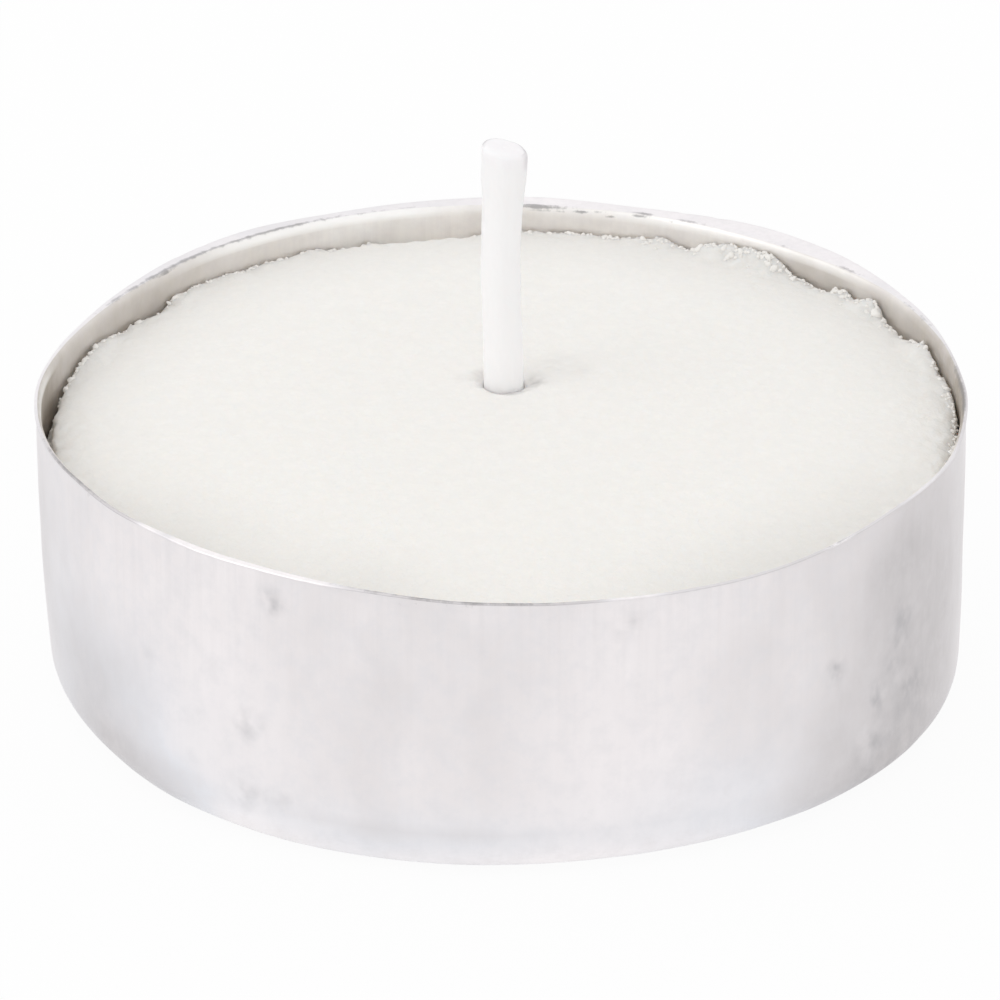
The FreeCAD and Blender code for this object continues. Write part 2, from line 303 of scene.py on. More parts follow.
# Dents in the wall: direction, height, width, tall, depth (all lengths in millimetres)
DENTS = (
    (239, 10.9, 1.2, 0.7, 0.1), (229, 11.4, 2.2, 0.6, -0.05), (286, 11.3, 1.2, 0.5, 0.06),
    (317, 11.4, 1.2, 0.6, 0.08), (262, 5.5, 5, 3, 0.04), (304, 3, 3, 2, 0.06), (333, 4.5, 2.4, 3.4, 0.06),
    (214, 3.6, 3, 2.2, 0.06), (95, 7, 4, 3, 0.07), (40, 4, 3.5, 2, 0.06), (140, 9, 3, 2.4, 0.06),
)
# Painted reflections and painted shade on the wall, in soft patches: direction, height, width and tall in
# millimetres, and how much lighter
WALL_PAINTED_LIGHT = (
    (236, 6.5, 3.6, 9, 0.35), (258, 7.5, 4.5, 6, -0.25), (286, 5.5, 4.5, 8, 0.5), (296, 6, 1.8, 2.5, -0.4),
    (296, 9, 2.5, 2.5, -0.3), (322, 10.2, 2, 1.5, -0.15), (229, 0.6, 2, 0.9, -0.5), (239, 1.2, 1.6, 1, 0.4),
    (312, 3.6, 2, 2.4, -0.5), (321.5, 6, 4.4, 8, -0.62), (338, 5.5, 4, 9, -1.15), (328, 10, 2.5, 1.8, -0.5),
    (324, 2.4, 4, 2.4, -0.35), (319, 0.9, 6, 1.1, -0.7), (207, 3.2, 4.4, 3.2, -0.95),
    (227, 3.6, 1.8, 1.6, 0.3), (217, 0.9, 4, 1.2, -1.1), (190, 6, 3, 9, -0.5), (265, 0.5, 18, 0.75, 0.6),
    (262, 1.75, 11, 0.35, -0.38), (60, 6, 6, 6, -0.45), (110, 5, 6, 7, 0.45), (150, 7, 5, 5, -0.4),
    (25, 4, 4, 5, 0.4),
)
# Bluer patches, in the same way
COOL = (
    (212, 3, 6, 3.4, 1.1), (221, 0.9, 6, 1.6, 0.9), (265, 0.4, 26, 1, 0.9), (262, 1.9, 6, 1, 0.5),
    (296, 2.4, 5, 2, 0.7), (198, 8, 3, 5, 0.3), (75, 4, 6, 4, 0.6), (140, 6, 6, 4, 0.6),
)
# The same inside: painted shade, darker towards both sides, with a little painted light between
INSIDE_PAINTED_LIGHT = (
    (181, 11, 4, 6, -1.6), (358, 11, 3.6, 6, -1.7), (185, 11, 2.4, 6, -0.9), (354, 11, 2.4, 6, -0.9),
    (152, 11.3, 5, 6, -0.7), (136, 11, 3.5, 6, -0.25), (36, 11, 3, 3, -0.5), (46, 11, 1.6, 3, -0.5),
    (109, 11, 3.6, 6, 0.4), (88, 11, 2.5, 6, -0.3), (16, 11.2, 3.5, 3, -0.9), (230, 11, 8, 6, 0.2),
    (290, 11, 8, 6, 0.2),
)
# Smudged patches: direction, height, width and tall in millimetres, and how strong the smudges are
SMUDGED = (
    (327, 6.8, 0.9, 1, 0.8), (325, 5.4, 0.8, 0.8, 0.5), (313.5, 6.4, 0.5, 0.5, 1.1),
    (321.5, 4.2, 0.45, 0.6, 1.1), (329.5, 3.6, 0.9, 1, 0.7), (320, 2, 0.9, 0.9, 0.7),
    (326, 2.6, 2.6, 2.4, 0.35), (319, 0.5, 3.5, 0.5, 0.6), (240.5, 10.9, 0.5, 0.4, 0.6),
    (241.8, 10.5, 0.5, 0.4, 0.9), (238, 5.1, 0.7, 0.7, 0.7), (237.5, 2.1, 0.8, 0.5, 0.8),
    (243, 2.3, 0.8, 0.4, 0.45), (222, 6.4, 0.4, 0.5, 0.35), (285, 10.9, 0.9, 0.5, 0.6),
    (75, 5, 2.6, 1.6, 0.2), (128, 3, 1.2, 2, 0.25),
)


def around(places, soften, unit=1.0):
    """A value for each whole degree round the cup, drawn through a few places and softened by degrees."""
    turns, sizes = zip(*places)
    values = np.interp(np.arange(360), turns, sizes, period=360)
    weights = np.hanning(2 * soften + 3)[1:-1]
    return np.convolve(np.tile(values, 3), weights / weights.sum(), "same")[360:720] * unit


RIM_SHAPE = around(RIM_ROUND, 5, MM)
BASE_SHAPE = around(BASE_ROUND, 5, MM)
LIP_SHAPE = around(LIP_WIDTHS, 3, MM)
LIP_PAINTED_LIGHT = around(LIP_GLINTS_AND_SHADE, 1)
BEND_HIGHLIGHT_SHARE = around(BEND_HIGHLIGHTS, 2)


def at(shape, angle):
    """A value from such a row, in one direction."""
    low, share = divmod(math.degrees(angle) % 360, 1)
    return shape[int(low) % 360] * (1 - share) + shape[(int(low) + 1) % 360] * share


def round_trip(angle, degrees):
    """The shortest signed angle from a direction given in degrees."""
    return (angle - math.radians(degrees) + math.pi) % TURN - math.pi


def spots(places, sizes, angle, height):
    """The sum of soft round spots on the wall at a place."""
    total = 0.0
    for direction, middle, wide, tall, share in places:
        across = round_trip(angle, direction) * sizes.wall / (wide * MM)
        up = (height - middle * MM) / (tall * MM)
        reach = across * across + up * up
        if reach < SPOT_END:
            total += share * math.exp(-reach)
    return total


def wall_push(sizes, angle, height):
    """How far the sheet is pushed outwards at a place: out of round, bowed, and dented."""
    climb = min(max((height - sizes.corner) / (sizes.height - sizes.corner), 0.0), 1.0)
    share = 1 - (1 - climb) ** 2
    push = at(RIM_SHAPE, angle) * share + at(BASE_SHAPE, angle) * (1 - share)
    push += 4 * WALL_BOW * climb * (1 - climb)
    push -= spots(DENTS, sizes, angle, height) * MM
    x, y = math.cos(angle) * sizes.wall, math.sin(angle) * sizes.wall
    return push + WAVER * grain(x, y, height, WAVER_SIZE, 2)


def lip_width(angle):
    """How far the trimmed lip reaches beyond the wall, with its small nicks."""
    x, y = math.cos(angle) * NICK_ROUND, math.sin(angle) * NICK_ROUND
    nick = max(0.0, grain(x, y, NICK_LAYER, NICK_SIZE) - NICK_FROM)
    return at(LIP_SHAPE, angle) * (1 - NICK_SHARE * nick) + RIPPLE * math.cos(RIPPLES * angle)


class Section:
    """A line of points, each a radius and a height, that grows leg by leg."""

    def __init__(self, start):
        self.points = [start]

    def straight(self, end, rows, eased=False):
        """Go on to a place, straight, or eased at both ends as a pressed step is."""
        r, z = self.points[-1]
        for k in range(1, rows + 1):
            climb = smooth(k / rows) if eased else k / rows
            self.points.append((r + (end[0] - r) * k / rows, z + (end[1] - z) * climb))

    def arc(self, centre, wide, tall, first, last, rows):
        """Go on round an oval arc, from one angle in degrees to another."""
        for k in range(1, rows + 1):
            turn = math.radians(first + (last - first) * k / rows)
            self.points.append((centre[0] + wide * math.cos(turn), centre[1] + tall * math.sin(turn)))


def cup_section(sizes, angle):
    """The closed line of the sheet at one angle: underside, outside, lip, inside and floor."""
    sheet, corner = sizes.sheet, sizes.corner
    bore = corner - sheet
    inside = sizes.wall - sheet
    corner_r = sizes.wall - corner
    step_r = corner_r - sizes.foot_width
    panel_r = step_r - sizes.foot_step
    shift = STEP_SHIFT * sheet
    under_panel = sizes.foot_depth
    on_panel = under_panel + sheet
    top = sizes.height
    under = top - sizes.lip_sheet
    nose = sizes.lip_sheet / 2
    bend = UNDER_BEND
    width = max(lip_width(angle), bend + nose)
    edge = sizes.wall + width - nose
    border = inside + sizes.bend_width
    strip = min(LINE_STRIP, (edge - border) / 2)
    line = Section((HUB, under_panel))
    line.straight((panel_r, under_panel), PANEL_ROWS)
    line.straight((step_r, 0.0), STEP_ROWS, eased=True)
    line.straight((corner_r, 0.0), FOOT_ROWS)
    line.arc((corner_r, corner), corner, corner, -90, 0, CORNER_ROWS)
    line.straight((sizes.wall, under - bend), WALL_ROWS)
    line.arc((sizes.wall + bend, under - bend), bend, bend, 180, 90, NOSE_ROWS)
    line.straight((edge, under), LIP_ROWS)
    line.arc((edge, top - nose), nose, nose, -90, 90, NOSE_ROWS)
    line.straight((border + strip, top), LIP_ROWS)
    line.straight((border, top), LINE_ROWS)
    line.arc((border, top - sizes.bend_depth), sizes.bend_width, sizes.bend_depth, 90, 180, BEND_ROWS)
    line.straight((inside, corner), WALL_ROWS)
    line.arc((corner_r, corner), bore, bore, 0, -90, CORNER_ROWS)
    line.straight((step_r + shift, sheet), FOOT_ROWS)
    line.straight((panel_r + shift, on_panel), STEP_ROWS, eased=True)
    line.straight((HUB, on_panel), PANEL_ROWS)
    return line.points


def round_bumps(places, angle):
    """The sum of soft bumps round the cup: direction and half width in degrees, size in millimetres."""
    total = 0.0
    for direction, wide, size in places:
        total += size * math.exp(-(math.degrees(round_trip(angle, direction)) / wide) ** 2)
    return total * MM


def dark_line_and_marks(sizes, angle, r, z):
    """How dark the painted line of shade along the lip's inner border is at a place in the section, with the
    dark marks and painted shade on the bend.
    """
    line = (sizes.wall - sizes.sheet + sizes.bend_width + DARK_LINE_PLACE, sizes.height)
    near = max(0.0, 1 - math.dist((r, z), line) / DARK_LINE_REACH)
    dark = near * round_bumps(DARK_LINE_SHADE, angle) / MM if near else 0.0
    if r < line[0] and z > sizes.height - sizes.bend_depth:
        for direction, wide, below, darkness in BEND_MARKS_AND_SHADE:
            close = max(0.0, 1 - abs(sizes.height - z - below * MM) / BEND_MARK_REACH)
            if close:
                dark += close * round_bumps([(direction, wide, darkness)], angle) / MM
    return dark


def painted_bend_highlight(sizes, angle, z):
    """How strong the painted highlight on the bend is at a height: most at its middle."""
    half = sizes.bend_depth / 2
    return at(BEND_HIGHLIGHT_SHARE, angle) * math.sqrt(max(0.0, 1 - abs(z - sizes.height + half) / half))


def build_cup(sizes):
    """Sweep the section round the axis, pushing the sheet out of true."""
    columns = []
    layers = {"painted_light": [], "cool": [], "smudged": [], "shade_line_and_marks": [], "bend_highlight": [], "inside": []}
    corner_r = sizes.wall - sizes.corner
    for i in range(CUP_AROUND):
        angle = TURN * i / CUP_AROUND
        lift = round_bumps(LIP_LIFTS, angle)
        column = []
        for k, (r, z) in enumerate(cup_section(sizes, angle)):
            on_lip = LIP_FROM < k <= INSIDE_FROM
            # Painted reflections and shade on the wall, and painted glints and shade on the lip, kept for
            # each point
            light_places = WALL_PAINTED_LIGHT if k <= INSIDE_FROM else INSIDE_PAINTED_LIGHT
            layers["painted_light"].append(at(LIP_PAINTED_LIGHT, angle) if on_lip else spots(light_places, sizes, angle, z))
            layers["cool"].append(LIP_COOL if on_lip else spots(COOL, sizes, angle, z))
            layers["smudged"].append(spots(SMUDGED, sizes, angle, z))
            layers["shade_line_and_marks"].append(dark_line_and_marks(sizes, angle, r, z))
            # The painted highlight on the bend inside the lip
            layers["bend_highlight"].append(painted_bend_highlight(sizes, angle, z) if k > INSIDE_FROM else 0.0)
            layers["inside"].append(1.0 if k > INSIDE_FROM else 0.0)
            loose = smooth((r - corner_r) / sizes.foot_width + 1)
            if loose:
                r += wall_push(sizes, angle, z) * loose
            z += lift * smooth(z / sizes.height) ** 2
            column.append((r * math.cos(angle), r * math.sin(angle), z))
        columns.append(column)
    rings = np.array(columns).transpose(1, 0, 2)
    piece = ring_mesh("cup_drawn", rings, capped=True)
    for name, values in layers.items():
        paint(piece, name, np.array(values).reshape(CUP_AROUND, -1).T.ravel())
    face_outwards(piece)
    return piece


# The wax
WAX_AROUND = 720
TOP_ROWS = 52
EDGE_ROWS = 34
SIDE_ROWS = 5
# The broken band along the edge, how sharply the crown falls to it, and how far down the side is skinned
EDGE_BAND = 3.0 * MM
SHOULDER_POWER = 4.8
SIDE_SEEN = 1.8 * MM
WALL_GAP = 0.06 * MM
# The top has sunk a little, and slopes up towards one direction
SUNK = 0.05 * MM
WAX_SLOPE = 0.22 * MM
WAX_SLOPE_TO = 20
# A pressed grain's top reaches this share of the way to the next grain
GRAIN_REACH = 0.75
# How far the wax's edge stands above its level, and how far it stays from the wall: a direction in
# degrees, and millimetres
EDGE_RISE = (
    (0, -0.1), (7, 0.1), (12, 0.15), (16, 0.3), (19, 0.48), (21, 0.2), (24, -0.25), (27, -0.38), (30, 0),
    (33, 0.35), (35.5, 0.22), (37, 0.1), (39.5, 0.25), (41, 0), (42.5, -0.38), (44, 0.03), (48, 0.08),
    (50, 0.5), (54, 0.68), (58, 0.52), (61, 0.4), (63, 0.1), (65.5, -0.15), (67.5, 0.24), (70, 0.2),
    (74, 0.06), (93, 0.05), (94.8, -0.4), (96.5, -0.55), (98.7, -0.38), (101, -0.52), (103, -0.7),
    (106, -0.5), (108, -0.1), (109.5, -0.12), (110.8, -0.4), (113, -0.15), (116, 0.09), (119.5, 0.18),
    (121.5, 0.02), (124, 0.14), (127, 0.03), (130, 0.2), (132, 0.1), (138, 0.22), (140.8, 0.25),
    (143.5, -0.3), (147, -0.05), (150, 0.08), (153, 0.1), (157, 0.38), (160, 0.4), (164, 0.3), (169, -0.05),
    (174, -0.2), (190, -0.1), (204, 0.12), (216, -0.3), (222, 0.1), (238, 0.05), (246, -0.35), (252, 0.12),
    (270, 0.2), (284, -0.1), (300, 0.1), (306, -0.4), (312, 0.1), (330, 0.2), (344, -0.25),
)
EDGE_GAP = (
    (0, 0.12), (8, 0), (166, 0), (172, 0.25), (178, 0.42), (188, 0.42), (197, 0.2), (210, 0), (345, 0),
    (355, 0.12),
)
# Lumps squeezed up along the edge: direction, half width along it, reach inwards and rise, in millimetres
LUMPS = (
    (67.8, 0.55, 0.6, 0.12), (61.3, 0.5, 0.5, 0.14), (58.3, 0.45, 0.5, 0.12), (54.5, 0.55, 0.6, 0.14),
    (50.6, 0.5, 0.6, 0.14), (38.6, 0.3, 0.35, 0.12), (33.6, 0.4, 0.5, 0.16), (31.9, 0.3, 0.4, 0.1),
    (250, 0.8, 0.6, 0.2), (315, 0.8, 0.6, 0.2),
)
# How far inwards a rise and a hollow of the edge reach, and how far its outer corner is rounded
RISE_REACH = 1.3 * MM
SINK_REACH = 0.4 * MM
TURNED = 0.12 * MM
RISE_SHAPE = around(EDGE_RISE, 1, MM)
GAP_SHAPE = around(EDGE_GAP, 3, MM)
# A lump or a smudge ends at this many times its reach, and a pit at this many
FADE_END = 2.5
PIT_END = 3
# Painted shade along the edge, where the rim shades the wax: direction and half width in degrees, and how
# dark
EDGE_PAINTED_SHADE = (
    (168, 30, 1.2), (115, 30, 0.9), (60, 30, 0.9), (20, 30, 0.9), (222, 22, 1.8), (252, 10, 1.3),
    (305, 20, 1.7), (330, 16, 1),
)
# Painted shade in the hollow beside the wick, and the wick's painted shadow: place from the wick's axis,
# reach in millimetres, and how grey
WICK_PAINTED_SHADE = (
    (-0.95, 0.65, 0.3, 0.9), (1.35, -0.1, 0.4, 1), (1.15, 0.4, 0.3, 0.5), (0.35, -1, 0.28, 0.9),
    (-0.2, -1.02, 0.2, 0.5), (2, 1.5, 1.1, 0.22), (3.1, 0.9, 0.5, 0.2), (-1.6, 0.1, 0.4, 0.3),
)
# Small pits in the pressed surface: place from the middle, reach and depth, in millimetres
PITS = (
    (8.9, -2.1, 0.32, 0.09), (9.6, -7.6, 0.22, 0.07), (-5, 6, 0.3, 0.05), (3.2, -9, 0.25, 0.05),
    (-11, -3, 0.25, 0.05), (-2, 11.5, 0.3, 0.05),
)
# How far inwards the painted shade along the edge reaches
EDGE_SHADE_REACH = 6.5 * MM
# Rings under the puck and up its bore: a share of the way from bore to edge, millimetres above the foot
BORE_RINGS = ((0.4, 0), (0.06, 0), (0, 4.6), (0, 7))
MOUTH_GAP = 0.4
TOP_SPREAD = 1.15
CRUMB_SEED = 11
CRUMB_COUNT = 1000
CRUMB_SIZES = (0.05, 0.10)
CRUMB_SUNK = (0.2, 0.7)
# The share of them that lie crowded together, and between which directions
CROWDED_SHARE = 0.12
CROWDED = (26, 70)


def edge_radius(cup, angle):
    """How far the wax reaches: a hair short of the wall, and out of round with it."""
    wall = cup.wall - cup.sheet + wall_push(cup, angle, WAX_HIGH.z)
    return wall - WALL_GAP


def pressed_grains(x, y, size):
    """Rounded tops of grains pressed together, 0 between them and 1 on top."""
    near = noise.voronoi(Vector((x, y, 0.0)) / size)[0][0]
    return max(0.0, 1 - (near / GRAIN_REACH) ** 2)


def along_edge(places, angle, inward, rough):
    """Each place along the edge, with how near a point is to it, 0 at its middle and 1 at its border."""
    for direction, wide, reach, tall in places:
        across = round_trip(angle, direction) * WAX_RADIUS / (wide * MM)
        depth = inward / (reach * MM)
        if abs(across) < FADE_END and depth < FADE_END:
            yield math.hypot(across, depth) * (1 + rough), tall * MM


def from_middle(x, y, px, py, reach):
    """How far a point is from the middle of a small spot, counted in the spot's own reach."""
    return math.hypot(x - px * MM, y - py * MM) / (reach * MM)


def pressed_top(sizes, x, y, edge):
    """The height of the top before its edge is broken: crowned, sloped, grainy and pitted."""
    away, angle = math.hypot(x, y), math.atan2(y, x)
    level = CUP_HIGH.z - sizes.edge_depth + WAX_SLOPE * math.cos(angle - math.radians(WAX_SLOPE_TO)) - SUNK
    height = WAX_HIGH.z - (WAX_HIGH.z - level) * min(away / edge, 1.0) ** SHOULDER_POWER
    swell = 0.03 * MM * grain(x, y, 9 * MM, 5 * MM)
    fine = 0.008 * MM * grain(x, y, 0.0, 0.8 * MM, 2)
    grains = 0.014 * MM * pressed_grains(x, y, 0.5 * MM)
    height += swell + fine + grains
    for px, py, reach, deep in PITS:
        near = from_middle(x, y, px, py, reach)
        if near < PIT_END:
            height -= deep * MM * math.exp(-near ** 2)
    return height


def wax_height(sizes, x, y, edge):
    """The height of the wax's top at a place, where the edge is at a distance from the cup's axis."""
    inward = max(edge - math.hypot(x, y), 0.0)
    height = pressed_top(sizes, x, y, edge)
    if inward > EDGE_BAND:
        return height
    angle = math.atan2(y, x)
    near = 1 - smooth(inward / EDGE_BAND)
    rough = grain(x, y, 0.0, 0.6 * MM, 2)
    coarse = 0.09 * MM * (pressed_grains(x, y, 0.62 * MM) - 0.5)
    height += near ** 2 * (coarse + 0.05 * MM * rough)
    small = 0.09 * MM * (pressed_grains(x, y, 0.34 * MM) - 0.4)
    height += small * (1 - smooth(inward / (0.5 * MM)))
    wander = grain(x, y, 3 * MM, 1.9 * MM, 2) + 0.9 * grain(x, y, 5 * MM, 0.5 * MM, 2)
    ledge = sizes.crumble * (0.2 + 0.8 * wander)
    deep = 0.25 * MM
    drop = deep * smooth((ledge - inward) / (0.16 * MM))
    gap = at(GAP_SHAPE, angle)
    if gap > 0.02 * MM:
        drop = max(drop, (deep + 1.2 * gap) * smooth((gap + 0.5 * ledge - inward) / (0.14 * MM)))
    rise = at(RISE_SHAPE, angle)
    reach = RISE_REACH if rise > 0 else SINK_REACH - rise
    height += rise * (1 - smooth(inward / reach + 0.2 * rough))
    for reach, tall in along_edge(LUMPS, angle, inward, 0.25 * rough):
        height += tall * math.sqrt(max(0.0, 1 - (reach / 1.25) ** 2))
        drop *= 1 - smooth(1.6 - reach)
    if inward < TURNED:
        height -= TURNED - math.sqrt(TURNED ** 2 - (TURNED - inward) ** 2)
    return height - drop


def wax_point(share, i, bore, edge):
    """A place between the bore round the wick and the edge round the cup's axis."""
    angle = TURN * i / WAX_AROUND
    x = (1 - share) * (WICK_AXIS.x + bore * math.cos(angle)) + share * edge * math.cos(angle)
    y = (1 - share) * (WICK_AXIS.y + bore * math.sin(angle)) + share * edge * math.sin(angle)
    return x, y


def hollow(sizes, x, y, bore):
    """How far the wax has sunk beside the wick: wider and rougher on the right."""
    away = math.hypot(x - WICK_AXIS.x, y - WICK_AXIS.y)
    beside = away - bore
    if beside > 3 * sizes.dimple_width:
        return 0.0
    right = 0.5 + 0.5 * (x - WICK_AXIS.x) / away
    width = sizes.dimple_width * (1.0 + 0.9 * right + 0.6 * grain(x, y, 0.0, 0.7 * MM, 2))
    crumbled = 0.12 * MM * right * (pressed_grains(x, y, 0.4 * MM) - 0.4)
    return (sizes.dimple_depth - crumbled) * (1 - smooth(beside / width))


def wax_painted_shade(x, y, edge):
    """How much painted shade darkens the wax at a place: along parts of its edge, and in the hollow by the
    wick with the wick's painted shadow.
    """
    inward = edge - math.hypot(x, y)
    dull = round_bumps(EDGE_PAINTED_SHADE, math.atan2(y, x)) / MM * (1 - smooth(inward / EDGE_SHADE_REACH))
    for px, py, reach, grey in WICK_PAINTED_SHADE:
        near = from_middle(x - WICK_AXIS.x, y - WICK_AXIS.y, px, py, reach)
        if near < FADE_END:
            dull += 4 * grey * math.exp(-near ** 2) * (0.7 + 0.6 * grain(x, y, 7 * MM, 0.35 * MM, 2))
    return dull


def build_wax(sizes, wick, cup):
    """The puck as one skin: top, broken edge, side, underside, and the bore round the wick."""
    bore = wick.radius + sizes.bore_gap
    mouth = wick.radius + MOUTH_GAP * sizes.bore_gap
    foot = WAX_LOW.z
    edges = [edge_radius(cup, TURN * i / WAX_AROUND) for i in range(WAX_AROUND)]
    chamfer = 1 - sizes.foot_chamfer / WAX_RADIUS
    inside = [(share, foot + height * MM) for share, height in BORE_RINGS]
    inside.append((0.0, WAX_HIGH.z - 3 * sizes.dimple_depth))
    inner = [(k / TOP_ROWS) ** TOP_SPREAD * (1 - EDGE_BAND / WAX_RADIUS) for k in range(TOP_ROWS)]
    outer = [1 - EDGE_BAND / WAX_RADIUS * (1 - k / EDGE_ROWS) for k in range(EDGE_ROWS + 1)]
    rings = []
    # Painted shade for each point, none in the bore
    dull = []
    for share, height in inside:
        rings.append([(*wax_point(share, i, bore, edges[i]), height) for i in range(WAX_AROUND)])
        dull += [0.0] * WAX_AROUND
    for share in inner + outer:
        ring = []
        for i in range(WAX_AROUND):
            x, y = wax_point(share, i, mouth, edges[i])
            ring.append((x, y, wax_height(sizes, x, y, edges[i]) - hollow(sizes, x, y, mouth)))
            dull.append(wax_painted_shade(x, y, edges[i]))
        rings.append(ring)
    brink = rings[-1]
    seat_z = CUP_HIGH.z - sizes.edge_depth - SIDE_SEEN
    for k in range(1, SIDE_ROWS + 1):
        share = k / SIDE_ROWS
        rings.append([(x, y, z + (seat_z - z) * share) for x, y, z in brink])
    for share, height in ((1.0, foot + sizes.foot_chamfer), (chamfer, foot)):
        rings.append([(*wax_point(share, i, bore, min(edges[i], WAX_RADIUS)), height)
                      for i in range(WAX_AROUND)])
    piece = ring_mesh("wax_pressed", rings, looped=True)
    # The kept layer holds painted shade; the side and foot take the brink's
    paint(piece, "dull", dull + dull[-WAX_AROUND:] * (SIDE_ROWS + 2))
    face_outwards(piece)
    return piece


def crumb_place(draw, sizes, cup, size, crowded):
    """A place for a grain near the edge. The crowded ones lie on the right at the back."""
    angle = math.radians(draw.uniform(*CROWDED) if crowded else draw.uniform(0, 360))
    edge = edge_radius(cup, angle)
    inward = size + abs(draw.gauss(0, 0.3 if crowded else 0.09)) * MM
    away = edge - inward
    x, y = away * math.cos(angle), away * math.sin(angle)
    return Vector((x, y, wax_height(sizes, x, y, edge)))


def build_crumbs(sizes, cup):
    """The broken grains of pressed wax along the puck's edge, each one sunk into it."""
    draw = random.Random(CRUMB_SEED)
    ball = bmesh.new()
    bmesh.ops.create_icosphere(ball, subdivisions=2, radius=1.0)
    corners = [vert.co.copy() for vert in ball.verts]
    sides = [[vert.index for vert in face.verts] for face in ball.faces]
    ball.free()
    points = []
    faces = []
    for _ in range(CRUMB_COUNT):
        crowded = draw.random() < CROWDED_SHARE
        size = draw.uniform(*CRUMB_SIZES) * MM * (1 + (1.4 if crowded else 0.8) * draw.random() ** 2)
        place = crumb_place(draw, sizes, cup, size, crowded)
        place.z -= size * draw.uniform(*CRUMB_SUNK)
        turned = Matrix.Rotation(draw.uniform(0, TURN), 3, (draw.gauss(0, 1), draw.gauss(0, 1), 1.0))
        squashed = Vector((draw.uniform(0.8, 1.5), draw.uniform(0.7, 1.1), draw.uniform(0.6, 1.0))) * size
        start = len(points)
        for corner in corners:
            out = turned @ (corner * squashed)
            lump = grain(*(place + out), 0.13 * MM)
            points.append(place + out * (1 + 0.3 * lump))
        faces += [[start + i for i in side] for side in sides]
    return link_mesh("wax_crumbs", points, faces)


# The wick
WICK_AROUND = 48
WICK_ROWS = 120
CUT_ROWS = 7
# Rings on the cut itself: how far they lie inside the rim, as shares of the tip's radius
CUT_RINGS = (0.4, 0.7, 0.9)
BRAID_PITCH = 2.3 * MM
BRAID_STRANDS = 4
BRAID_DEPTH = 0.008
LUMP_DEPTH = 0.022
# How much slimmer the middle is and up to what share, where the swelling starts and over what share it grows
SLIMMER = 0.015 * MM
SLIM_TO = 0.8
SWOLLEN_FROM = 0.70
SWOLLEN_OVER = 0.2
# How far the middle leans left and the tip leans back, how far down the cut shows, and how rough it is
LEAN_LEFT = 0.14 * MM
LEAN_BACK = 0.03 * MM
CUT_REACH = 1.5 * MM
CUT_ROUGH = 0.03 * MM


def wick_radius(sizes, height, angle):
    """The cord's radius at a place: slim in its middle, swollen at its tip, its braid showing a little."""
    free = max(0.0, (height - WAX_HIGH.z) / (WICK_HIGH.z - WAX_HIGH.z))
    slim = sizes.radius - SLIMMER * math.sin(math.pi * min(free / SLIM_TO, 1.0))
    radius = slim + (sizes.tip_radius - slim) * smooth((free - SWOLLEN_FROM) / SWOLLEN_OVER)
    turn = TURN * height / BRAID_PITCH
    braid = math.cos(BRAID_STRANDS * angle + turn) * math.cos(BRAID_STRANDS * angle - turn)
    lump = grain(math.cos(angle) * MM, math.sin(angle) * MM, height, 1.3 * MM, 2)
    held = smooth((height - WAX_HIGH.z + 0.5 * MM) / (0.5 * MM))
    return radius * (1 + held * (BRAID_DEPTH * braid + LUMP_DEPTH * lump))


def tip_greyness(rim, angle, inset, cut):
    """How grey the cord is near its cut: on the far side of the worn rim, and down the right side."""
    on_rim = max(0.0, 1 - abs(inset - 0.35 * rim) / (0.8 * rim)) if inset else 0.0
    on_side = 0.35 * cut ** 2 * smooth(4 * math.cos(angle) - 3) if inset < 0.6 * rim else 0.0
    return max(on_rim * smooth(0.6 + math.sin(angle)), 0.12 * cut + on_side)


def build_wick(sizes):
    """A stiff cord, cut off a little slanted, its cut worn round at the rim."""
    foot = WICK_LOW.z
    rim = sizes.tip_wear
    tip = WICK_HIGH.z - rim
    rings = []
    for k in range(WICK_ROWS):
        rings.append((foot + (tip - foot) * k / (WICK_ROWS - 1), 0.0, 0.0))
    for k in range(1, CUT_ROWS + 1):
        turn = math.pi / 2 * k / CUT_ROWS
        rings.append((tip, rim * (1 - math.cos(turn)), rim * math.sin(turn)))
    rings += [(tip, share * sizes.tip_radius, rim) for share in CUT_RINGS]
    columns = []
    greys = []
    for height, inset, rise in rings:
        free = smooth((height - WAX_HIGH.z) / (tip - WAX_HIGH.z))
        lean_x, lean_y = -LEAN_LEFT * math.sin(free * math.pi), LEAN_BACK * free
        cut = smooth((height - tip + CUT_REACH) / CUT_REACH)
        ring = []
        for i in range(WICK_AROUND):
            angle = TURN * i / WICK_AROUND
            r = wick_radius(sizes, height, angle) - inset
            across, along = r * math.cos(angle), r * math.sin(angle)
            slant = sizes.tip_drop * (0.5 + 0.5 * across / sizes.tip_radius) * cut
            worn = CUT_ROUGH * grain(across, along, 4 * MM, 0.5 * MM, 2) * cut
            ring.append((WICK_AXIS.x + lean_x + across, WICK_AXIS.y + lean_y + along,
                         height + rise - slant + worn))
            greys.append(tip_greyness(rim, angle, inset, cut))
        columns.append(ring)
    piece = ring_mesh("wick_waxed", columns, capped=True)
    paint(piece, "tip_grey", greys)
    face_outwards(piece)
    return piece


# Materials
class Tree:
    """A short hand for building the nodes of a material or a world."""

    def __init__(self, owner):
        owner.use_nodes = True
        self.nodes = owner.node_tree.nodes
        self.links = owner.node_tree.links

    def add(self, kind, output, inputs, **settings):
        """A new node and one of its outputs. Its inputs take plain values or other nodes' outputs."""
        node = self.nodes.new("ShaderNode" + kind)
        for name, value in settings.items():
            setattr(node, name, value)
        for name, value in inputs.items():
            socket = node.inputs[name]
            if isinstance(value, bpy.types.NodeSocket):
                self.links.new(value, socket)
            else:
                socket.default_value = (*value, 1.0) if socket.type == "RGBA" else value
        return node.outputs[output] if output else None

    def combine(self, operation, first, second):
        """Two values added, multiplied and so on."""
        return self.add("Math", "Value", {0: first, 1: second}, operation=operation)


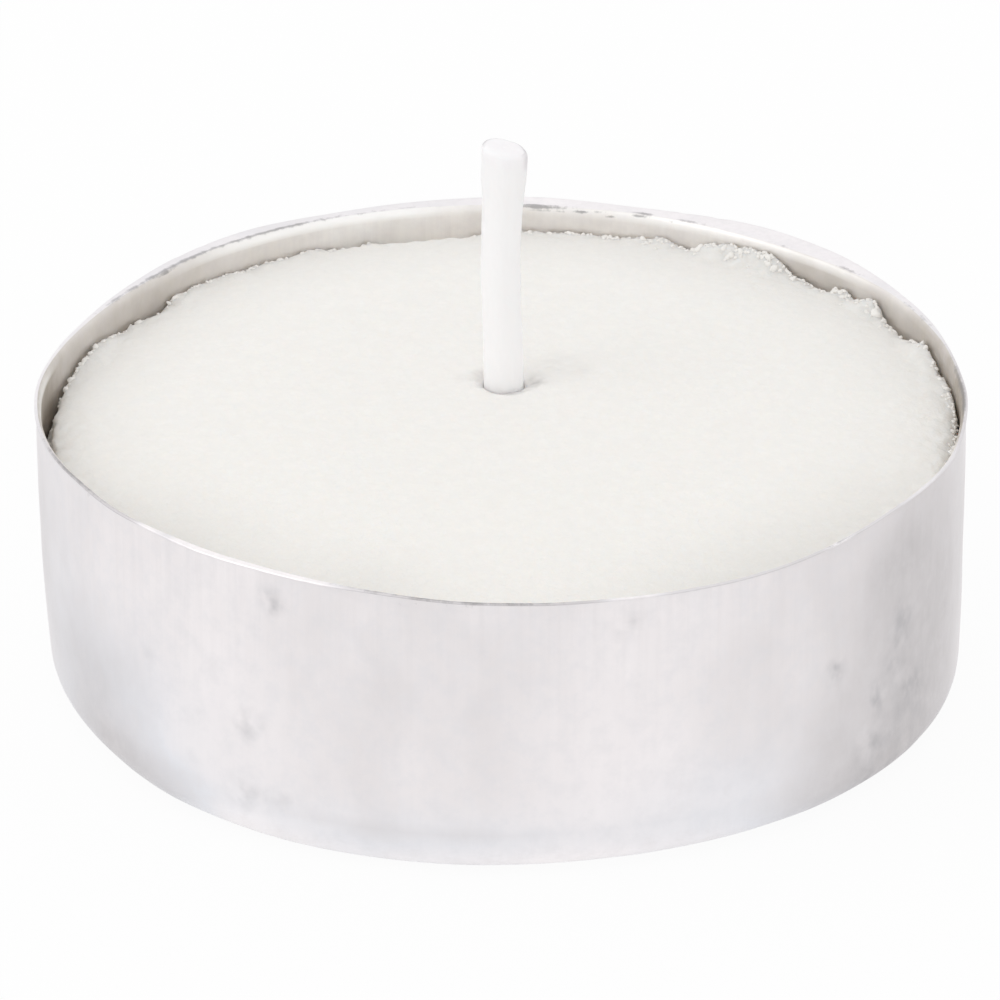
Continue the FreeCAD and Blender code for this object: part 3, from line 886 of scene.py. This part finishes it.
class Surface(Tree):
    """The nodes of a new material with one shader. Its patterns are fixed to the object."""

    def __init__(self, name):
        self.material = bpy.data.materials.new(name)
        super().__init__(self.material)
        self.shader = self.nodes["Principled BSDF"]
        self.place = self.add("TexCoord", "Object", {})

    def stretched(self, scale):
        """Object coordinates stretched along each axis."""
        return self.add("Mapping", "Vector", {"Scale": scale, "Vector": self.place})

    def noise(self, size, detail=4.0, rough=0.55, vector=None):
        """Noise whose lumps are about size metres across."""
        return self.add("TexNoise", "Fac", {"Scale": 1 / size, "Detail": detail, "Roughness": rough,
                                            "Vector": vector or self.place})

    def cells(self, size):
        """Distance to the nearest of many scattered points, about size metres apart."""
        return self.add("TexVoronoi", "Distance", {"Scale": 1 / size, "Vector": self.place})

    def band(self, value, low, high, bottom=0.0, top=1.0):
        """A value mapped from low..high to bottom..top, and held there."""
        return self.add("MapRange", "Result", {"From Min": low, "From Max": high, "To Min": bottom,
                                               "To Max": top, "Value": value})

    def layer(self, name):
        """The numbers that were kept for the points of the mesh."""
        return self.add("Attribute", "Fac", {}, attribute_name=name)

    def height(self):
        """The object's own height, in metres."""
        return self.add("SeparateXYZ", "Z", {"Vector": self.place})

    def mix(self, factor, first, second):
        """Two colours mixed by a factor."""
        return self.add("Mix", "Result", {"Factor": factor, "A": first, "B": second}, data_type="RGBA")

    def tint(self, tone, colour, value, low, high, most=1.0):
        """A tone that turns to a colour as a value goes from low to high."""
        return self.mix(self.band(value, low, high, 0.0, most), tone, colour)

    def bump(self, value, depth, under=None):
        """A bump whose height is depth metres, on top of another one."""
        inputs = {"Distance": depth, "Height": value}
        if under is not None:
            inputs["Normal"] = under
        return self.add("Bump", "Normal", inputs)

    def feed(self, socket, value):
        """Give the shader's socket a node's output."""
        self.links.new(value, self.shader.inputs[socket])

    def set(self, **values):
        """Set plain numbers and colours on the shader itself."""
        for socket, value in values.items():
            self.shader.inputs[socket.replace("_", " ")].default_value = value


def shade(colour_value, share):
    """A colour made darker or lighter."""
    return tuple(min(channel * share, 1.0) for channel in colour_value)


# Colours of painted shade inside the cup, and of deeper painted shade in its crescents at both sides
INSIDE_SHADE_COLOUR = (0.50, 0.455, 0.40)
DEEP_SHADE_COLOUR = (0.36, 0.31, 0.25)
# Colour of the painted highlight on the bend
HIGHLIGHT_COLOUR = (1.0, 0.995, 0.985)


def aluminium(sizes):
    """Satin aluminium: draw lines down the wall, painted reflections and painted shade in patches, smudges,
    a painted highlight on the bend and a painted dark line of shade along the lip.
    """
    tree = Surface("cup_aluminium_satin")
    metal = tuple(sizes.colour)
    cool, fogged = tuple(sizes.cool), tuple(sizes.fogged)
    lines = tree.noise(0.28 * MM, 3.0, 0.6, tree.stretched((1.0, 1.0, 0.03)))
    cloud = tree.noise(4.5 * MM, 5.0, 0.6, tree.stretched((1.0, 1.0, 0.7)))
    mottle = tree.noise(0.9 * MM, 4.0, 0.65)
    speck = tree.noise(0.42 * MM, 3.0, 0.7)
    inside = tree.layer("inside")
    # Painted reflections, glints and shade kept for each point, with random cloudy tone added
    patches = tree.combine("ADD", tree.layer("painted_light"), tree.band(cloud, 0.3, 0.7, -0.28, 0.28))
    blots = tree.band(tree.noise(0.8 * MM, 2.0, 0.5), 0.36, 0.66)
    smudges = tree.combine("MULTIPLY", blots, tree.band(tree.layer("smudged"), 0.05, 1.0))
    blue = tree.combine("ADD", tree.band(mottle, 0.45, 0.62, 0.0, 0.25), tree.layer("cool"))
    base = tree.tint(metal, cool, blue, 0, 1)
    mottled = tree.tint(fogged, shade(fogged, 0.94), tree.noise(1.2 * MM, 4.0, 0.65), 0.4, 0.68)
    low = tree.band(tree.height(), CUP_HIGH.z - 1.3 * MM, CUP_HIGH.z - 0.7 * MM)
    base = tree.mix(inside, base, tree.mix(low, shade(fogged, 1.05), mottled))
    # Colours that the painted light turns to: painted shade, painted reflections, and deeper painted shade
    # inside
    dark = tree.mix(inside, shade(metal, 0.70), INSIDE_SHADE_COLOUR)
    light = tree.mix(inside, shade(metal, 1.13), shade(fogged, 1.12))
    tone = tree.tint(base, dark, patches, 0, -1.5)
    tone = tree.tint(tone, light, patches, 0, 1)
    tone = tree.tint(tone, DEEP_SHADE_COLOUR, patches, -1.5, -3.2)
    tone = tree.tint(tone, shade(metal, 0.90), mottle, 0.45, 0.75, 0.35)
    upper = tree.band(tree.height(), 0.5 * CUP_HIGH.z, CUP_HIGH.z, 0.3, 1.0)
    streaks = tree.combine("MULTIPLY", tree.band(lines, 0.4, 0.75, 0.0, 0.25), upper)
    tone = tree.mix(streaks, tone, shade(metal, 0.86))
    tone = tree.mix(tree.combine("MULTIPLY", smudges, 0.5), tone, shade(cool, 0.5))
    broken = tree.band(tree.noise(0.5 * MM, 3.0, 0.7), 0.35, 0.65, 0.0, 0.8)
    # A painted line of shade along the lip's inner border, dark marks on the bend, and painted shade on it
    # at the right side
    shade_line_and_marks = tree.combine("SUBTRACT", tree.combine("MULTIPLY", tree.layer("shade_line_and_marks"), 1.6), broken)
    # Painted highlight on the bend
    tone = tree.tint(tone, HIGHLIGHT_COLOUR, tree.layer("bend_highlight"), 0, 1)
    tone = tree.tint(tone, shade(metal, 0.36), shade_line_and_marks, 0, 0.9, 0.75)
    tree.feed("Base Color", tone)
    fog = tree.band(inside, 0.0, 1.0, 0.0, 0.12)
    dull = tree.combine("ADD", tree.combine("MULTIPLY", smudges, 0.15), fog)
    tree.feed("Roughness", tree.combine("ADD", tree.band(patches, -1.0, 1.0, 0.42, 0.32), dull))
    smoothed = tree.bump(cloud, 0.03 * MM)
    drawn = tree.bump(lines, 0.004 * MM, smoothed)
    tree.feed("Normal", tree.bump(speck, 0.005 * MM, tree.bump(mottle, 0.006 * MM, drawn)))
    tree.set(Metallic=1.0)
    return tree.material


def paraffin(sizes, name, soaked):
    """Pressed paraffin: fine grains, faint mottling, and a share of the light soaking in."""
    tree = Surface(name)
    wax = tuple(sizes.colour)
    grains = tree.cells(0.5 * MM)
    dust = tree.noise(0.22 * MM, 3.0, 0.65)
    cloud = tree.noise(0.9 * MM, 5.0, 0.62)
    tone = tree.tint(shade(wax, 0.988), shade(wax, 1.008), cloud, 0.36, 0.64)
    tone = tree.tint(tone, shade(wax, 0.975), grains, 0.35, 0.75, 0.5)
    tone = tree.tint(tone, shade(wax, 0.955), dust, 0.5, 0.75, 0.5)
    # The kept numbers darken the wax with painted shade along its edge and by the wick, and with the wick's
    # painted shadow
    tone = tree.tint(tone, shade(wax, 0.72), tree.layer("dull"), 0, 4)
    tree.feed("Base Color", tone)
    tree.feed("Roughness", tree.band(dust, 0.3, 0.7, 0.52, 0.68))
    tree.feed("Normal", tree.bump(dust, 0.04 * MM, tree.bump(grains, 0.03 * MM)))
    tree.set(Subsurface_Weight=soaked, Subsurface_Radius=(1.0, 0.9, 0.8), Subsurface_Scale=0.8 * MM,
             IOR=1.43, Specular_IOR_Level=0.35)
    return tree.material


def waxed_cotton(sizes):
    """Cotton braid soaked in wax: faint slanting strands under a smooth skin."""
    tree = Surface("wick_waxed_cotton")
    cotton = tuple(sizes.colour)
    strands = tree.noise(0.28 * MM, 3.0, 0.55, tree.stretched((1.0, 1.0, 0.25)))
    cloud = tree.noise(1.4 * MM, 3.0, 0.5)
    tone = tree.tint(cotton, shade(cotton, 0.97), strands, 0.35, 0.7, 0.6)
    # Greyer near the cut's far rim, a little over the cut, and down its right side
    tone = tree.tint(tone, shade(cotton, 0.5), tree.layer("tip_grey"), 0, 0.8, 0.9)
    tree.feed("Base Color", tone)
    tree.feed("Roughness", tree.band(cloud, 0.3, 0.7, 0.42, 0.6))
    tree.feed("Normal", tree.bump(strands, 0.02 * MM, tree.bump(cloud, 0.03 * MM)))
    tree.set(Subsurface_Weight=0.8, Subsurface_Radius=(1.0, 0.95, 0.95), Subsurface_Scale=0.8 * MM,
             Specular_IOR_Level=0.4)
    return tree.material


def tin_plate():
    """Bright tin plate with rolling lines, on the stamped sustainer."""
    tree = Surface("sustainer_tin_plate")
    plate = (0.70, 0.70, 0.71)
    lines = tree.noise(0.3 * MM, 3.0, 0.6, tree.stretched((0.05, 1.0, 1.0)))
    cloud = tree.noise(2.5 * MM, 3.0, 0.5)
    tree.feed("Base Color", tree.tint(shade(plate, 0.93), shade(plate, 1.05), cloud, 0.3, 0.7))
    tree.feed("Roughness", tree.band(lines, 0.3, 0.7, 0.24, 0.36))
    tree.feed("Normal", tree.bump(lines, 0.006 * MM))
    tree.set(Metallic=1.0)
    return tree.material


def dress(piece, material):
    """Give a piece one material and no other."""
    piece.data.materials.clear()
    piece.data.materials.append(material)


def seat(piece, material, node):
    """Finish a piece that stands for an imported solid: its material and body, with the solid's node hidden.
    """
    dress(piece, material)
    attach(piece, ROOT)
    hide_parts(node)


class TEALIGHT_OT_cup(bpy.types.Operator):
    """Build the drawn aluminium cup with its lip, dents and pressed foot."""
    bl_idname = "tealight.cup"
    bl_label = "Cup"

    def execute(self, context):
        sizes = context.scene.tealight_cup
        seat(build_cup(sizes), aluminium(sizes), "cup")
        return {"FINISHED"}


class TEALIGHT_OT_wax(bpy.types.Operator):
    """Build the pressed wax puck with its crumbled edge."""
    bl_idname = "tealight.wax"
    bl_label = "Wax"

    def execute(self, context):
        sizes = context.scene.tealight_wax
        cup = context.scene.tealight_cup
        puck = build_wax(sizes, context.scene.tealight_wick, cup)
        seat(puck, paraffin(sizes, "wax_pressed_paraffin", soaked=0.55), "wax_puck")
        crumbs = build_crumbs(sizes, cup)
        seat(crumbs, paraffin(sizes, "wax_broken_paraffin", soaked=0.0), "wax_puck")
        return {"FINISHED"}


class TEALIGHT_OT_wick(bpy.types.Operator):
    """Build the waxed wick."""
    bl_idname = "tealight.wick"
    bl_label = "Wick"

    def execute(self, context):
        sizes = context.scene.tealight_wick
        seat(build_wick(sizes), waxed_cotton(sizes), "wick")
        return {"FINISHED"}


class TEALIGHT_OT_sustainer(bpy.types.Operator):
    """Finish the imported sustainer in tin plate."""
    bl_idname = "tealight.sustainer"
    bl_label = "Sustainer"

    def execute(self, context):
        dress(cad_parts["wick_sustainer"], tin_plate())
        return {"FINISHED"}


# The stage: lengths in metres, the lamp's directions in degrees from the camera's side and from the floor,
# the sensor in millimetres and the picture in pixels
FLOOR_REACH = 1.5
FLOOR_COLOUR = (0.93, 0.93, 0.93)
FLOOR_WHITE = 0.92
LAMP_DISTANCE = 0.45
LAMP_SIZE = 0.30
LAMP_AZIMUTH = -72
LAMP_ELEVATION = 40
SENSOR = 36.0
NEAREST = 0.01
PICTURE = 1000


def make_camera(stage):
    """The photograph's view: a long lens, a little above the candle, very slightly turned."""
    rise = stage.elevation
    ahead = Vector((0.0, math.cos(rise), -math.sin(rise)))
    right = Vector((1.0, 0.0, 0.0))
    up = right.cross(ahead)
    place = -ahead * stage.distance - right * stage.shift_right - up * stage.shift_up
    turned = Matrix.Rotation(stage.roll, 3, ahead)
    right, up = turned @ right, turned @ up
    data = bpy.data.cameras.new("camera")
    data.sensor_width = SENSOR
    data.lens = stage.distance * stage.scale * SENSOR / PICTURE
    data.clip_start = NEAREST
    camera = link_object("camera", data)
    looking = Matrix((right, up, -ahead)).transposed()
    camera.matrix_world = Matrix.Translation(place) @ looking.to_4x4()
    bpy.context.scene.camera = camera


def make_lamp(stage):
    """A soft square lamp on the left that looks at the candle."""
    data = bpy.data.lights.new("key_lamp", "AREA")
    data.size = LAMP_SIZE
    data.energy = stage.key_power
    lamp = link_object("key_lamp", data)
    turn, rise = math.radians(LAMP_AZIMUTH), math.radians(LAMP_ELEVATION)
    back = Vector((math.sin(turn) * math.cos(rise), -math.cos(turn) * math.cos(rise), math.sin(rise)))
    lamp.location = back * LAMP_DISTANCE
    lamp.rotation_euler = back.to_track_quat("Z", "Y").to_euler()


def white_where_seen(tree, plain, share):
    """Mix a plain shader with pure white for what the camera, a gloss or a glass looks at."""
    rays = tree.nodes.new("ShaderNodeLightPath").outputs
    seen = rays["Is Camera Ray"]
    for kind in ("Is Glossy Ray", "Is Transmission Ray"):
        seen = tree.combine("MAXIMUM", seen, rays[kind])
    white = tree.add("Emission", "Emission", {"Strength": 1.0})
    return tree.add("MixShader", "Shader", {0: tree.combine("MULTIPLY", seen, share), 1: plain, 2: white})


def make_floor():
    """A pale floor that shows white and still keeps the candle's soft shadow."""
    corners = [(x * FLOOR_REACH, y * FLOOR_REACH, 0) for x, y in ((-1, -1), (1, -1), (1, 1), (-1, 1))]
    floor = link_mesh("floor", corners, [(0, 1, 2, 3)])
    material = bpy.data.materials.new("floor_pale")
    tree = Tree(material)
    tree.nodes.clear()
    pale = tree.add("BsdfDiffuse", "BSDF", {"Color": FLOOR_COLOUR})
    tree.add("OutputMaterial", None, {"Surface": white_where_seen(tree, pale, FLOOR_WHITE)})
    dress(floor, material)


def make_world(stage):
    """Soft white surroundings."""
    world = bpy.data.worlds.new("surroundings")
    bpy.context.scene.world = world
    tree = Tree(world)
    tree.nodes.clear()
    sky = tree.add("Background", "Background", {"Color": (1, 1, 1), "Strength": stage.world_strength})
    tree.add("OutputWorld", None, {"Surface": white_where_seen(tree, sky, 1.0)})


class TEALIGHT_OT_stage(bpy.types.Operator):
    """Set up the camera, the lamp, the floor and the soft surroundings."""
    bl_idname = "tealight.stage"
    bl_label = "Stage"

    def execute(self, context):
        stage = context.scene.tealight_stage
        context.scene.view_settings.view_transform = "Standard"
        make_camera(stage)
        make_floor()
        make_world(stage)
        make_lamp(stage)
        return {"FINISHED"}


class TEALIGHT_PT_panel(bpy.types.Panel):
    """The builders and their sizes, in the sidebar."""
    bl_idname = "TEALIGHT_PT_panel"
    bl_label = "Tea Light"
    bl_space_type = "VIEW_3D"
    bl_region_type = "UI"
    bl_category = "Tea Light"

    def draw(self, context):
        for operator in OPERATORS:
            self.layout.operator(operator.bl_idname)
        for name in SETTINGS:
            group = getattr(context.scene, name)
            box = self.layout.box()
            for field in group.bl_rna.properties:
                if field.identifier not in ("rna_type", "name"):
                    box.prop(group, field.identifier)


SETTINGS = {
    "tealight_cup": CupSizes,
    "tealight_wax": WaxSizes,
    "tealight_wick": WickSizes,
    "tealight_stage": StageSettings,
}
OPERATORS = (TEALIGHT_OT_stage, TEALIGHT_OT_cup, TEALIGHT_OT_wax, TEALIGHT_OT_wick, TEALIGHT_OT_sustainer)


def register():
    for name, group in SETTINGS.items():
        bpy.utils.register_class(group)
        setattr(bpy.types.Scene, name, PointerProperty(type=group))
    for operator in OPERATORS:
        bpy.utils.register_class(operator)
    bpy.utils.register_class(TEALIGHT_PT_panel)


def unregister():
    bpy.utils.unregister_class(TEALIGHT_PT_panel)
    for operator in reversed(OPERATORS):
        bpy.utils.unregister_class(operator)
    for name, group in SETTINGS.items():
        delattr(bpy.types.Scene, name)
        bpy.utils.unregister_class(group)


def main():
    register()
    bpy.ops.tealight.stage()
    bpy.ops.tealight.cup()
    bpy.ops.tealight.wax()
    bpy.ops.tealight.wick()
    bpy.ops.tealight.sustainer()


if __name__ == "__main__":
    main()
